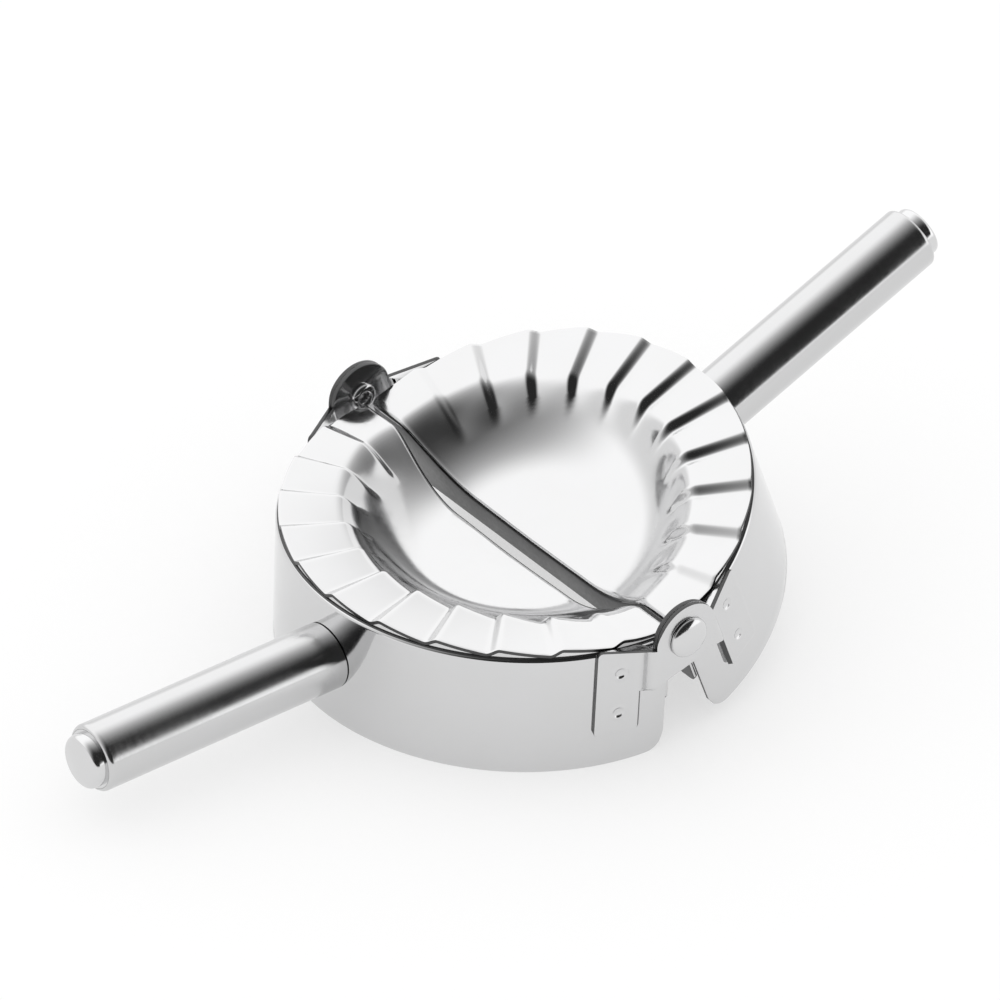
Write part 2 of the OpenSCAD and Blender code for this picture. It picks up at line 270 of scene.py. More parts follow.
steelSpread = {    # how marks and clouds of tone lie on every steel
    "mark detail": 3,
    "patch scale": 60,
    "patch values": (0.1, 0.4),    # noise that gives the low and the high roughness
    "cloud scale": 90,
    "cloud tone": 0.97,            # of the darker clouds, as a share of the steel's own
    "cloud blue": 1.01,
    "brush turn": 0.25,
}


def groundMarksGroup():    # fine marks of polishing or brushing, stretched along one axis
    tree = bpy.data.node_groups.new("groundMarks", "ShaderNodeTree")
    for name, kind, value in (("Along", "NodeSocketVector", (1, 1, 1)),
                              ("Density", "NodeSocketFloat", 400.0),
                              ("Low Roughness", "NodeSocketFloat", 0.05),
                              ("High Roughness", "NodeSocketFloat", 0.1)):
        addSocket(tree, name, kind, value)
    addSocket(tree, "Roughness", "NodeSocketFloat", output=True)
    addSocket(tree, "Height", "NodeSocketFloat", output=True)
    entry = tree.nodes.new("NodeGroupInput")
    leave = tree.nodes.new("NodeGroupOutput")
    coordinates = tree.nodes.new("ShaderNodeTexCoord")
    stretch = tree.nodes.new("ShaderNodeVectorMath")
    stretch.operation = "MULTIPLY"
    tree.links.new(coordinates.outputs["Object"], stretch.inputs[0])
    tree.links.new(entry.outputs["Along"], stretch.inputs[1])
    grain = noise(tree, stretch.outputs[0], entry.outputs["Density"])
    grain.inputs["Detail"].default_value = steelSpread["mark detail"]
    patches = noise(tree, coordinates.outputs["Object"], steelSpread["patch scale"])
    both = calc(tree, "MULTIPLY", grain.outputs[0], patches.outputs[0])
    share = fade(tree, both, *steelSpread["patch values"])
    span = calc(tree, "SUBTRACT", entry.outputs["High Roughness"], entry.outputs["Low Roughness"])
    rough = calc(tree, "MULTIPLY_ADD", share, span, entry.outputs["Low Roughness"])
    tree.links.new(rough, leave.inputs["Roughness"])
    tree.links.new(grain.outputs[0], leave.inputs["Height"])
    return tree


groundMarks = groundMarksGroup()


def steel(name, look):
    material = bpy.data.materials.new(name)
    material.use_nodes = True
    tree = material.node_tree
    shader = tree.nodes["Principled BSDF"]
    shader.inputs["Metallic"].default_value = 1
    marks = tree.nodes.new("ShaderNodeGroup")
    marks.node_tree = groundMarks
    marks.inputs["Along"].default_value = look["along"]
    marks.inputs["Density"].default_value = look["density"]
    marks.inputs["Low Roughness"].default_value = look["roughness"][0]
    marks.inputs["High Roughness"].default_value = look["roughness"][1]
    tree.links.new(marks.outputs["Roughness"], shader.inputs["Roughness"])
    coordinates = tree.nodes.new("ShaderNodeTexCoord")
    cloud = noise(tree, coordinates.outputs["Object"], steelSpread["cloud scale"])
    tone = tree.nodes.new("ShaderNodeMix")
    tone.data_type = "RGBA"
    light, blue = look["tone"], look["tone"] * steelSpread["cloud blue"]
    tone.inputs["A"].default_value = (*[light * steelSpread["cloud tone"]] * 3, 1)
    tone.inputs["B"].default_value = (light, light, blue, 1)
    tree.links.new(cloud.outputs[0], tone.inputs["Factor"])
    tree.links.new(tone.outputs["Result"], shader.inputs["Base Color"])
    bump = tree.nodes.new("ShaderNodeBump")
    bump.inputs["Strength"].default_value = look["bump"]
    bump.inputs["Distance"].default_value = look["depth"] * mm
    tree.links.new(marks.outputs["Height"], bump.inputs["Height"])
    tree.links.new(bump.outputs[0], shader.inputs["Normal"])
    if look.get("brushed"):
        tangent = tree.nodes.new("ShaderNodeTangent")
        tangent.direction_type = "UV_MAP"
        tree.links.new(tangent.outputs[0], shader.inputs["Tangent"])
        shader.inputs["Anisotropic"].default_value = look["brushed"]
        shader.inputs["Anisotropic Rotation"].default_value = steelSpread["brush turn"]
    return material


steelLooks = {
    "mouldSteel": {"tone": 0.66, "roughness": (0.1, 0.15), "along": (1, 1, 1), "density": 500.0,
                   "bump": 0.02, "depth": 0.05},
    "skirtSteel": {"tone": 0.66, "roughness": (0.05, 0.09), "along": (1, 1, 0.08),
                   "density": 900.0, "bump": 0.03, "depth": 0.05},
    "tubeSteel": {"tone": 0.62, "roughness": (0.15, 0.2), "along": (1, 0.03, 0.03),
                  "density": 2500.0, "bump": 0.02, "depth": 0.02, "brushed": 0.7},
    "hingeSteel": {"tone": 0.66, "roughness": (0.15, 0.21), "along": (1, 1, 1),
                   "density": 1500.0, "bump": 0.03, "depth": 0.03},
    "rivetSteel": {"tone": 0.68, "roughness": (0.1, 0.16), "along": (1, 1, 1),
                   "density": 800.0, "bump": 0.02, "depth": 0.03},
    # Near black: sheared edges are rough and darker, and this tone also stands in for shadowed
    # gaps and shaded reflections on the faces marked with it: painted shade.
    "cutEdgeAndShadeSteel": {"tone": 0.09, "roughness": (0.3, 0.4), "along": (1, 1, 0.1), "density": 2500.0,
                 "bump": 0.1, "depth": 0.05},
    "fixingSteel": {"tone": 0.5, "roughness": (0.25, 0.4), "along": (1, 1, 1), "density": 900.0,
                    "bump": 0.05, "depth": 0.04},
}
steels = {name: steel(name, look) for name, look in steelLooks.items()}
print("steel finishes made")


# Pressed mould plates. The tree makes the near half's upper face, with its turned-down wall.

plate = {
    "Rim Radius": 47.5,
    "Rim Height": 28.3,    # height of the middle of the pleats
    "Pleats": 12,
    "Pleat Rise": 1.2,
    "Pleat Face": 3.3,     # degrees that a pleat's steep face takes up
    "Pleat Length": 13.0,
    "Pleat Growth": 0.2,   # how much higher the pleats are at their inner ends
    "Pleat Fade": 6.0,     # the last of the pleats, down the cavity's wall
    "Fold Clear": 1.0,     # from the fold to where the pleats begin
    "Fold Full": 14.0,     # from the fold to where they have their whole height
    "Ring Runout": 2.5,    # how far the rows of rings run on past the pleats
    "Cavity Depth": 9.8,
    "Cavity Stretch": 4.0,     # how much farther out the cavity's lip lies beside the hinges
    "Stretch Power": 4.0,      # how late it gets there, going round from the middle
    "Floor Radius": 17.5,
    "Lip Reach": 0.9,      # from the pleats' inner ends out to the cavity's lip
    "Lip Round": 0.18,     # how softly the wall starts, as a share of its width
    "Floor Crown": 0.4,
    "Crown Reach": 1.2,    # where the floor's crown ends, in floor radii
    "Fold Gap": 0.25,
    "Bend Radius": 1.6,    # of the plate's upper face where it turns down along the fold
    "Wall Bottom": 9.95,
    "Wall Corner": 2.0,
}
plateSheet = {"thickness": 0.7, "edge": 0.12}    # the edge is the rounding of its cut edges
plateGrid = {
    "columns in a pleat": 24,
    "ring rows": 22,       # these carry the pleats
    "core rows": 26,       # these run on to the fold
    "bend steps": 10,
    "gather": 0.72,        # how closely the columns gather at the pleats' steep faces
    "lean": 12.0,          # degrees beside each hinge in which the columns lean to the fold
}
plateCutAndShade = {    # limits of place and normal that tell the faces in the near-black steel: the cut edges, and the fold wall painted dark as shade
    "rim margin": 0.05,
    "rim normal": 0.7,
    "rim start": 1.0,
    "foot normal": 0.3,
    "painted shade wall normal": 0.9,
}


def gridAngle(tree, size, column, pitch):    # degrees from the fold
    counted = calc(tree, "MULTIPLY", column, size["Pleats"])
    turn = calc(tree, "MULTIPLY", counted, 2 * math.pi)
    gather = calc(tree, "MULTIPLY", calc(tree, "SINE", turn), plateGrid["gather"] / (2 * math.pi))
    return calc(tree, "MULTIPLY", calc(tree, "SUBTRACT", counted, gather), pitch)


def gridSpread(tree, size, row, angle, pleatIn, bendLine):    # a point's place, seen from above
    ringShare = plateGrid["ring rows"] / (plateGrid["ring rows"] + plateGrid["core rows"])
    coreRadius = calc(tree, "SUBTRACT", pleatIn, size["Ring Runout"])
    ringPart = calc(tree, "MINIMUM", calc(tree, "DIVIDE", row, ringShare), 1.0)
    corePart = calc(tree, "DIVIDE", calc(tree, "SUBTRACT", row, ringShare), 1 - ringShare)
    corePart = calc(tree, "MAXIMUM", corePart, 0.0)
    ringDepth = calc(tree, "SUBTRACT", size["Rim Radius"], coreRadius)
    radius = calc(tree, "SUBTRACT", size["Rim Radius"],
                  calc(tree, "MULTIPLY", ringPart, ringDepth))

    # Beside the hinges the columns lean over to follow the line where the bend begins
    lean = plateGrid["lean"]
    fromEnd = calc(tree, "MINIMUM", angle, calc(tree, "SUBTRACT", 180.0, angle))
    first = calc(tree, "DEGREES", calc(tree, "ARCSINE", calc(tree, "DIVIDE", bendLine, radius)))
    share = calc(tree, "MINIMUM", calc(tree, "DIVIDE", fromEnd, lean), 1.0)
    eased = calc(tree, "MULTIPLY", calc(tree, "SUBTRACT", 1.0, share), first)
    held = calc(tree, "MAXIMUM", calc(tree, "SUBTRACT", fromEnd, lean), 0.0)
    leaned = calc(tree, "ADD", calc(tree, "ADD", calc(tree, "MULTIPLY", share, lean), eased), held)
    turned = calc(tree, "RADIANS", leaned)
    side = calc(tree, "SIGN", calc(tree, "SUBTRACT", 90.0, angle))
    across = calc(tree, "MULTIPLY", radius, calc(tree, "SINE", turned))
    along = calc(tree, "MULTIPLY", radius, calc(tree, "COSINE", turned))
    toBend = calc(tree, "MULTIPLY", calc(tree, "SUBTRACT", across, bendLine), corePart)
    return calc(tree, "SUBTRACT", across, toBend), calc(tree, "MULTIPLY", along, side)


def pleatHeight(tree, size, reach, across, along, pleatIn, pitch):
    angle = calc(tree, "DEGREES", calc(tree, "ARCTAN2", across, along))
    face = size["Pleat Face"]
    inPleat = calc(tree, "ADD", angle, calc(tree, "MULTIPLY", face, 0.5))
    inPleat = calc(tree, "MODULO", inPleat, pitch)
    steep = fade(tree, calc(tree, "DIVIDE", inPleat, face), 0.0, 1.0)
    slope = calc(tree, "DIVIDE", calc(tree, "SUBTRACT", inPleat, face),
                 calc(tree, "SUBTRACT", pitch, face))
    slope = calc(tree, "SUBTRACT", 1.0, slope)
    height = calc(tree, "SUBTRACT", calc(tree, "MINIMUM", steep, slope), 0.5)
    height = calc(tree, "MULTIPLY", height, size["Pleat Rise"])
    fromFold = fade(tree, across, size["Fold Clear"], size["Fold Full"])
    height = calc(tree, "MULTIPLY", height, fromFold)
    grown = calc(tree, "MULTIPLY_ADD", fade(tree, reach, size["Rim Radius"], pleatIn),
                 size["Pleat Growth"], 1.0)
    fadeFrom = calc(tree, "SUBTRACT", pleatIn, size["Pleat Fade"])
    height = calc(tree, "MULTIPLY", height, grown)
    return calc(tree, "MULTIPLY", height, fade(tree, reach, fadeFrom, pleatIn))


def softStart(tree, size, share):    # starts level, then runs straight
    square = calc(tree, "MULTIPLY", size["Lip Round"], size["Lip Round"])
    grown = calc(tree, "SQRT", calc(tree, "MULTIPLY_ADD", share, share, square))
    return calc(tree, "SUBTRACT", grown, size["Lip Round"])


def bowlDepth(tree, size, reach, along, pleatIn):
    toEnd = calc(tree, "ABSOLUTE", calc(tree, "DIVIDE", along, reach))
    stretch = calc(tree, "MULTIPLY", calc(tree, "POWER", toEnd, size["Stretch Power"]),
                   size["Cavity Stretch"])
    openRadius = calc(tree, "ADD", calc(tree, "ADD", pleatIn, size["Lip Reach"]), stretch)
    wallWidth = calc(tree, "SUBTRACT", openRadius, size["Floor Radius"])
    inside = calc(tree, "DIVIDE", calc(tree, "SUBTRACT", openRadius, reach), wallWidth)
    inside = calc(tree, "MINIMUM", calc(tree, "MAXIMUM", inside, 0.0), 1.0)
    inside = calc(tree, "DIVIDE", softStart(tree, size, inside), softStart(tree, size, 1.0))
    left = calc(tree, "SUBTRACT", 1.0, inside)
    fallen = calc(tree, "SUBTRACT", 1.0, calc(tree, "MULTIPLY", left, left))
    inFloor = calc(tree, "DIVIDE", reach, size["Floor Radius"])
    crown = calc(tree, "MULTIPLY", size["Floor Crown"],
                 fade(tree, inFloor, size["Crown Reach"], 0.0))
    return calc(tree, "ADD", calc(tree, "MULTIPLY", size["Cavity Depth"], fallen), crown)


def turnDown(tree, size, geometry, bendLine):    # a quarter circle in steps, then the wall
    limit = calc(tree, "MULTIPLY", calc(tree, "ADD", bendLine, sameSpot / mm), -mm)
    top = calc(tree, "GREATER_THAN", positionAxes(tree)[0], limit)
    neighbours = tree.nodes.new("GeometryNodeInputMeshEdgeNeighbors")
    border = calc(tree, "COMPARE", neighbours.outputs[0], 1.0, 0.1)    # edges of one face only
    top = calc(tree, "MULTIPLY", top, border)
    steps = plateGrid["bend steps"]
    for k in range(steps + 1):
        extrude = tree.nodes.new("GeometryNodeExtrudeMesh")
        extrude.mode = "EDGES"
        tree.links.new(geometry, extrude.inputs["Mesh"])
        tree.links.new(top, extrude.inputs["Selection"])
        if k < steps:
            start, end = math.pi / 2 * k / steps, math.pi / 2 * (k + 1) / steps
            out = calc(tree, "MULTIPLY", size["Bend Radius"],
                       (math.sin(end) - math.sin(start)) * mm)
            down = calc(tree, "MULTIPLY", size["Bend Radius"],
                        (math.cos(end) - math.cos(start)) * mm)
        else:
            out, down = 0.0, -mm
        tree.links.new(position(tree, out, 0.0, down), extrude.inputs["Offset"])
        extrude.inputs["Offset Scale"].default_value = 1
        geometry, top = extrude.outputs["Mesh"], extrude.outputs["Top"]
    return geometry, top


def straightFoot(tree, size, geometry, top):    # the wall's lower edge, with round corners
    parts = positionAxes(tree)
    toCorner = calc(tree, "SUBTRACT", calc(tree, "MULTIPLY", size["Rim Radius"], mm),
                    calc(tree, "ABSOLUTE", parts[1]))
    corner = calc(tree, "MULTIPLY", size["Wall Corner"], mm)
    inCorner = calc(tree, "MAXIMUM", calc(tree, "SUBTRACT", corner, toCorner), 0.0)
    square = calc(tree, "SUBTRACT", calc(tree, "MULTIPLY", corner, corner),
                  calc(tree, "MULTIPLY", inCorner, inCorner))
    lift = calc(tree, "SUBTRACT", corner, calc(tree, "SQRT", calc(tree, "MAXIMUM", square, 0.0)))
    bottom = calc(tree, "ADD", calc(tree, "MULTIPLY", size["Wall Bottom"], mm), lift)
    return setPosition(tree, geometry, position(tree, parts[0], parts[1], bottom), top)


def pleatedPlateTree():
    tree, size = startTree("pleatedPlate", plate)
    columns = plate["Pleats"] * plateGrid["columns in a pleat"] + 1
    rows = plateGrid["ring rows"] + plateGrid["core rows"] + 1
    grid, column, row = unitGrid(tree, columns, rows)
    pitch = calc(tree, "DIVIDE", 180.0, size["Pleats"])
    pleatIn = calc(tree, "SUBTRACT", size["Rim Radius"], size["Pleat Length"])
    bendLine = calc(tree, "ADD", size["Fold Gap"], size["Bend Radius"])
    angle = gridAngle(tree, size, column, pitch)
    across, along = gridSpread(tree, size, row, angle, pleatIn, bendLine)
    reach = calc(tree, "SQRT", calc(tree, "ADD", calc(tree, "MULTIPLY", across, across),
                                    calc(tree, "MULTIPLY", along, along)))
    pleated = pleatHeight(tree, size, reach, across, along, pleatIn, pitch)
    height = calc(tree, "SUBTRACT", calc(tree, "ADD", size["Rim Height"], pleated),
                  bowlDepth(tree, size, reach, along, pleatIn))
    place = position(tree, calc(tree, "MULTIPLY", across, -mm), calc(tree, "MULTIPLY", along, mm),
                     calc(tree, "MULTIPLY", height, mm))
    geometry = mergeClose(tree, setPosition(tree, grid.outputs["Mesh"], place))
    geometry, top = turnDown(tree, size, geometry, bendLine)
    finishTree(tree, straightFoot(tree, size, geometry, top))
    return tree


def plateIsCutOrShade(at, normal):    # the rim, a cut edge also painted dark as the shadow of the gap above the skirt; the wall's lower edge; and the wall's face to the fold, painted dark as shade
    rim = plate["Rim Radius"] - plateCutAndShade["rim margin"]
    foot = plate["Wall Bottom"] + plate["Wall Corner"]
    wallTop = plate["Rim Height"] - plate["Bend Radius"]
    onRim = at.xy.length > rim and abs(normal.z) < plateCutAndShade["rim normal"]
    onFoot = at.z < foot and abs(normal.x) < plateCutAndShade["foot normal"]
    onShadeWall = at.z < wallTop and normal.x > plateCutAndShade["painted shade wall normal"]
    return (onRim and at.x < -plateCutAndShade["rim start"]) or onFoot or onShadeWall


def buildPlates():
    base = meshObject("plateBase", [(0, 0, 0)], [])
    applyTree(base, pleatedPlateTree(), plate, steels["mouldSteel"])
    addSheet(base, plateSheet["thickness"])
    addBevel(base, plateSheet["edge"])
    mesh = bakedMesh(base)
    markCutAndShade(mesh, plateIsCutOrShade)
    for side, half in sides.items():
        placePiece(side + "Plate", mesh, half["place"], steels["mouldSteel"],
                   half["body"], side + "_mould_plate", sharp=50)
    print("mould plates:", len(mesh.polygons), "faces each")


buildPlates()


# Cutter skirts: half-round sheet with a turned-in top edge and round lower end corners

skirt = {
    "radius": 48.0,
    "height": 27.0,
    "sheet": 0.8,
    "lip": 1.0,         # radius of the turned-in edge
    "end": 1.15,        # distance of the ends from the fold's middle plane
    "corner": 4.0,      # radius of the lower end corners
    "edge": 0.15,
    "columns": 181,
    "lip steps": 8,
    "wall steps": 10,
    "painted shade top normal": 0.75,     # limits of the normal that tell the faces in the near-black steel: the sheared edges, and the turned-in top, painted dark as the shadow under the plate
    "level normal": 0.5,
    "across normal": 0.3,
}


def skirtPoint(u, v):
    stop = math.asin(skirt["end"] / skirt["radius"])
    angle = stop + u * (math.pi - 2 * stop)
    fromEnd = skirt["radius"] * math.sin(angle) - skirt["end"]
    inside = max(skirt["corner"] - fromEnd, 0)
    low = skirt["corner"] - math.sqrt(max(skirt["corner"] ** 2 - inside ** 2, 0))
    wallShare = skirt["wall steps"] / (skirt["wall steps"] + skirt["lip steps"])
    if v <= wallShare:
        out, up = 0, low + (skirt["height"] - skirt["lip"] - low) * v / wallShare
    else:
        turn = (v - wallShare) / (1 - wallShare) * math.pi / 2
        out = skirt["lip"] * (1 - math.cos(turn))
        up = skirt["height"] - skirt["lip"] + skirt["lip"] * math.sin(turn)
    radius = skirt["radius"] - out
    return -radius * math.sin(angle), radius * math.cos(angle), up


def skirtIsCutOrShade(at, normal):    # the sheared edges, and the turned-in edge where it faces up, painted dark as the shadow of the gap under the plate's rim
    across = abs(normal.xy.dot(at.xy.normalized()))
    sheared = normal.z < skirt["level normal"] and across < skirt["across normal"]
    return normal.z > skirt["painted shade top normal"] or sheared


def buildSkirts():
    rows = skirt["wall steps"] + skirt["lip steps"] + 1
    base = gridObject("skirtBase", skirt["columns"], rows, skirtPoint)
    base.data.flip_normals()
    addSheet(base, skirt["sheet"])
    addBevel(base, skirt["edge"])
    mesh = bakedMesh(base)
    markCutAndShade(mesh, skirtIsCutOrShade)
    for side, half in sides.items():
        placePiece(side + "Skirt", mesh, half["place"], steels["skirtSteel"],
                   half["body"], side + "_cutter_skirt")
    print("cutter skirts:", len(mesh.polygons), "faces each")


buildSkirts()


# Turned pieces: the tree spins a profile round X, the profile's X being the distance along

def turnedTree(name, points):
    tree, size = startTree(name, {"Segments": 96})
    addSocket(tree, "Profile", "NodeSocketObject")
    entry = tree.nodes["entry"]
    info = tree.nodes.new("GeometryNodeObjectInfo")
    tree.links.new(entry.outputs["Profile"], info.inputs["Object"])
    grid, column, row = unitGrid(tree, calc(tree, "ADD", size["Segments"], 1), points)
    turn = calc(tree, "MULTIPLY", column, 2 * math.pi)
    index = calc(tree, "ROUND", calc(tree, "MULTIPLY", row, float(points - 1)))
    sample = tree.nodes.new("GeometryNodeSampleIndex")
    sample.data_type = "FLOAT_VECTOR"
    tree.links.new(info.outputs["Geometry"], sample.inputs["Geometry"])
    tree.links.new(tree.nodes.new("GeometryNodeInputPosition").outputs[0], sample.inputs["Value"])
    tree.links.new(index, sample.inputs["Index"])
    along, radius, _ = axesOf(tree, sample.outputs[0])
    place = position(tree, along, calc(tree, "MULTIPLY", radius, calc(tree, "COSINE", turn)),
                     calc(tree, "MULTIPLY", radius, calc(tree, "SINE", turn)))
    store = tree.nodes.new("GeometryNodeStoreNamedAttribute")
    store.data_type = "FLOAT2"
    store.domain = "CORNER"
    store.inputs["Name"].default_value = "UVMap"
    tree.links.new(grid.outputs["Mesh"], store.inputs["Geometry"])
    tree.links.new(grid.outputs["UV Map"], store.inputs["Value"])
    finishTree(tree, mergeClose(tree, setPosition(tree, store.outputs[0], place)))
    return tree


def turnedMesh(name, profile, material):    # profile: (along, radius) pairs
    verts = [(a * mm, r * mm, 0) for a, r in profile]
    line = meshObject(name + "Profile", verts, [])
    base = meshObject(name + "Base", [(0, 0, 0)], [])
    tree = turnedTree(name, len(profile))
    modifier = applyTree(base, tree, {}, material)
    for item in tree.interface.items_tree:
        if item.name == "Profile":
            modifier[item.identifier] = line
    mesh = bakedMesh(base)
    bpy.data.objects.remove(line)
    for face in mesh.polygons:    # Set Material gives every face its second slot
        face.material_index = 0
    return mesh


# Handles

handle = {
    "height": 13.7,
    "tube radius": 6.9,
    "wall": 0.8,
    "start": 47.3,      # the tube's root, cut to the skirt's round
    "end": 104.7,
    "rings": 12,        # along the tube, with room left at its root and at its end
    "ring room": (1, 2),
    "lip": 1.0,
    "lip end": 25,      # degrees from the tube's axis at which the lip's round stops
    "button radius": 5.5,
    "button length": 2.895,
    "button edge": 1.2,
    "dome": 0.35,
    "plug length": 12.0,
    "plug clearance": 0.05,
    "root gap": 0.2,
    "root depth": 0.5,  # points as near the tube's start as this are moved to the skirt
    "dome points": 8,
}
outward = Matrix.Translation((0, 0, handle["height"] * mm)) @ Matrix.Rotation(math.pi, 4, "Z")


def tubeProfile():
    start, end, outer = handle["start"], handle["end"], handle["tube radius"]
    inner = outer - handle["wall"]
    rootRoom, endRoom = handle["ring room"]
    rings = [(a, outer) for a in np.linspace(start + rootRoom, end - endRoom, handle["rings"])]
    lip = arc((end - handle["lip"], outer - handle["lip"]), handle["lip"], 90, handle["lip end"])
    return [(start, inner), (start, outer), *rings, *lip, (end, inner), (start, inner)]


def plugProfile():
    root = handle["end"] - handle["plug length"]
    spigot = handle["tube radius"] - handle["wall"] - handle["plug clearance"]
    face = handle["end"] + handle["button length"]
    radius = handle["button radius"]
    edge = handle["button edge"]
    middle = (face - handle["dome"] - edge, radius - edge)
    dome = [(face - handle["dome"] * (r / middle[1]) ** 2, r)
            for r in np.linspace(middle[1], 0, handle["dome points"])[1:]]
    return [(root, 0), (root, spigot), (handle["end"], spigot), (handle["end"], radius),
            *arc(middle, edge, 90, 0), *dome]


def trimToSkirt(mesh):    # the tube's root follows the skirt's round
    rootEnd = (handle["start"] + handle["root depth"]) * mm
    reach = (skirt["radius"] + handle["root gap"]) * mm
    for vertex in mesh.vertices:
        if vertex.co.x < rootEnd:
            vertex.co.x = math.sqrt(reach ** 2 - vertex.co.y ** 2)


def buildHandles():
    tube = turnedMesh("tube", tubeProfile(), steels["tubeSteel"])
    trimToSkirt(tube)
    plug = turnedMesh("plug", plugProfile(), steels["rivetSteel"])
    for side, half in sides.items():
        place = half["place"] @ outward
        placePiece(side + "Tube", tube, place, steels["tubeSteel"], half["body"],
                   side + "_handle_tube")
        placePiece(side + "EndPlug", plug, place, steels["rivetSteel"],
                   half["body"], side + "_handle_end_plug")
        for fixing in ("insert", "screw", "washer"):
            slots = frame["nodes"][f"{side}_handle_{fixing}"].data.materials
            slots.clear()
            slots.append(steels["fixingSteel"])
    print("handles:", len(tube.polygons), "faces in a tube")


buildHandles()


# Hinge leaves: a flat outline with a hole, laid along a bent path of the sheet's middle

leaf = {
    "sheet": 0.9,
    "band radius": 48.5,     # middle of the sheet where it lies on the skirt
    "band": 9.0,
    "band height": 20.0,
    "band corner": 0.9,
    "foot": 8.05,            # the step's foot and head, from the hinge axis
    "head": 7.75,
    "foot margin": 0.2,      # from the step's foot back to the band's end
    "bend": 1.6,
    "bend start": 3.0,       # from the step's foot back to where the first bend may begin
    "top": -0.8,             # top edge and the step's lower edge, from the hinge axis
    "tongue": -9.9,
    "drop": 1.5,
    "ear": 7.2,
    "ear margin": 2.0,       # how far the path runs on past the ear
    "hole": 2.05,
    "hole clear": 0.3,       # room that the fill leaves beside the hole's edge
    "edge": 0.08,
    "edge clear": 0.35,      # room beside the outline, in spacings
    "spacing": 0.55,
    "band points": 24,
    "bend points": 7,
    "ear points": 72,
    "hole points": 48,
    "weld pitch": 9.4,
    "weld low": 0.2,
    "weld": 1.2,             # radius of a weld's dimple
    "weld depth": 0.32,
    "weld rim": 0.1,
    "rim at": 1.2,           # the rim's middle and width, in weld radii
    "rim width": 0.2,
    "weld start": 0.2,       # radius of the weld's first ring of points
    "weld reach": 1.7,       # radius of its last ring, in weld radii
    "weld clear": 1.8,       # where the even spacing begins, in weld radii
    "weld rings": 9,
    "ring points": 24,
    "face margin": 0.1,      # from the sheet's middle, tells the points of its outer face
    "weld margin": 1.5,      # from the step's foot back to where a weld may reach
}
ears = {"near": 51.55, "far": 50.55}    # middle of the ear's sheet, from the press's middle


def roundedPath(points, radius):    # the path's sharp bends become short curves
    out = [points[0]]
    for before, corner, after in zip(points, points[1:], points[2:]):
        back, ahead = before - corner, after - corner
        cut = min(radius, np.linalg.norm(back) / 2, np.linalg.norm(ahead) / 2)
        start = corner + back / np.linalg.norm(back) * cut
        end = corner + ahead / np.linalg.norm(ahead) * cut
        for t in np.linspace(0, 1, leaf["bend points"]):
            out.append((1 - t) ** 2 * start + 2 * t * (1 - t) * corner + t ** 2 * end)
    out.append(points[-1])
    return np.array(out)


def onBand(x):    # the sheet's middle on the skirt, seen from above
    return np.array([x, -math.sqrt(leaf["band radius"] ** 2 - x * x)])


def leafPath(earMiddle):    # seen from above, with the length up to each point
    bandStart = -leaf["foot"] - leaf["band"]
    bandEnd = -leaf["foot"] - leaf["bend start"]
    band = [onBand(x) for x in np.linspace(bandStart, bandEnd, leaf["band points"])]
    bends = roundedPath([band[-1], onBand(-leaf["foot"]), np.array([-leaf["head"], -earMiddle]),
                         np.array([leaf["ear"] + leaf["ear margin"], -earMiddle])], leaf["bend"])
    path = np.vstack([band[:-1], bends])
    length = np.concatenate([[0], np.cumsum(np.linalg.norm(np.diff(path, axis=0), axis=1))])
    return path, length


def leafOutline(earAt, footAt, headAt):    # in (length along the path, height from the axis)
    corner = np.array([-leaf["head"] + leaf["sheet"] / 2, leaf["tongue"]])
    tangent = math.acos(leaf["ear"] / np.linalg.norm(corner)) + math.atan2(corner[1], corner[0])
    last = math.pi - math.asin(leaf["top"] / leaf["ear"])
    bottom = leaf["top"] - leaf["band height"]
    c = leaf["band corner"]
    return [*arc((c, bottom + c), c, 180, 270, 4), *arc((footAt - c, bottom + c), c, 270, 360, 4),
            (footAt, leaf["tongue"] - leaf["drop"]), (headAt, leaf["tongue"]),
            *[(earAt + leaf["ear"] * math.cos(a), leaf["ear"] * math.sin(a))
              for a in np.linspace(tangent, last, leaf["ear points"])],
            *arc((c, leaf["top"] - c), c, 90, 180, 4)]


def leafFill(outline, earAt, welds, end):    # points inside the outline, closer round the welds
    gap = leaf["spacing"]
    fill = []
    for s in np.arange(gap, end, gap):
        for z in np.arange(leaf["top"] - leaf["band height"], leaf["ear"], gap):
            toWeld = min(math.hypot(s - w[0], z - w[1]) for w in welds)
            toHole = abs(math.hypot(s - earAt, z) - leaf["hole"])
            if toWeld > leaf["weld"] * leaf["weld clear"] and toHole > leaf["hole clear"]:
                fill.append((s, z))
    for w in welds:
        fill.append(w)
        weldEnd = leaf["weld"] * leaf["weld reach"]
        for r in np.linspace(leaf["weld start"], weldEnd, leaf["weld rings"]):
            fill += circle(w, r, leaf["ring points"])
    return [p for p in fill if insideOutline(p, outline, leaf["edge clear"] * gap)]


